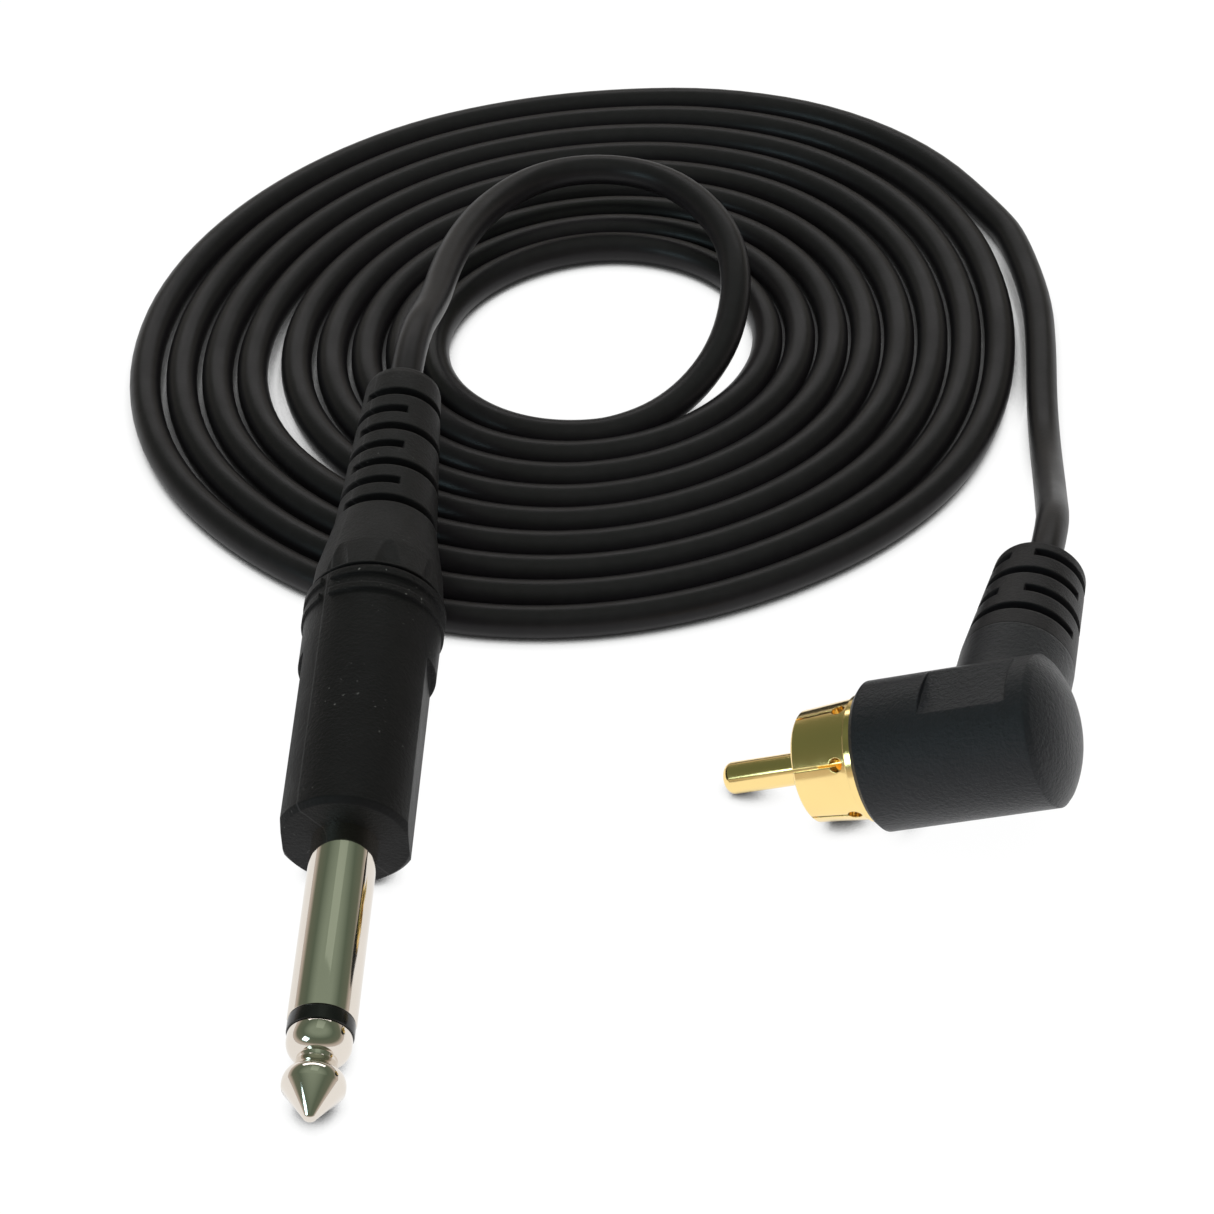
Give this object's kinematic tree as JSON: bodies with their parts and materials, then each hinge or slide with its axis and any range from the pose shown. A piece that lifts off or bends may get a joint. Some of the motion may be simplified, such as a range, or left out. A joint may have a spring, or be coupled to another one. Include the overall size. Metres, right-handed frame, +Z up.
{
  "type": "instrument cable",
  "caption": "Unbalanced audio lead: a straight moulded 6.35 mm mono phone plug, a slim round cord lying in a flat loose spiral, and a right-angle moulded phono plug.",
  "frame": {"origin": "on the surface the lead lies on, under the middle of the bounding box of the phone plug and the phono plug; the cord is left out of that box", "axes": "+Z up from the surface; -Y is roughly the way the phone plug points; the cord spiral lies towards +Y; the phono plug is at +X"},
  "size_m": [0.1035, 0.164, 0.0212],
  "materials": {
    "nickel": "bright nickel plate",
    "gold": "polished gold plate",
    "black_ring": "smooth gloss",
    "black_pvc": "fine matt, soft PVC",
    "cord_pvc": "satin PVC jacket",
    "inner_mould": "hard polythene pre-mould",
    "insulator": "natural",
    "bare_brass": "dull stamped",
    "tinned_steel": "tinned",
    "copper": "bright drawn copper",
    "solder": "smooth solder",
    "core_red": "smooth"
  },
  "bodies": {
    "root": {"cord_coil": "cord_pvc", "cord_lead": "cord_pvc", "cord_tail": "cord_pvc", "phone_conductor": "copper", "phone_core": "core_red", "phone_ground_lug": "tinned_steel", "phone_ground_solder": "solder", "phone_handle": "black_pvc", "phone_inner_mould": "inner_mould", "phone_insulating_tube": "insulator", "phone_insulator_ring": "black_ring", "phone_jacket_end": "cord_pvc", "phone_pigtail": "copper", "phone_rear_washer": "insulator", "phone_sleeve": "nickel", "phone_strain_relief": "black_pvc", "phone_tip": "nickel", "phone_tip_lug": "tinned_steel", "phone_tip_rod": "bare_brass", "phone_tip_solder": "solder", "rca_collar": "gold", "rca_conductor": "copper", "rca_core": "core_red", "rca_ground_solder": "solder", "rca_ground_tail": "bare_brass", "rca_housing": "black_pvc", "rca_inner_mould": "inner_mould", "rca_insulator": "insulator", "rca_jacket_end": "cord_pvc", "rca_pigtail": "copper", "rca_pin": "gold", "rca_pin_solder": "solder", "rca_strain_relief": "black_pvc"}
  },
  "joints": []
}
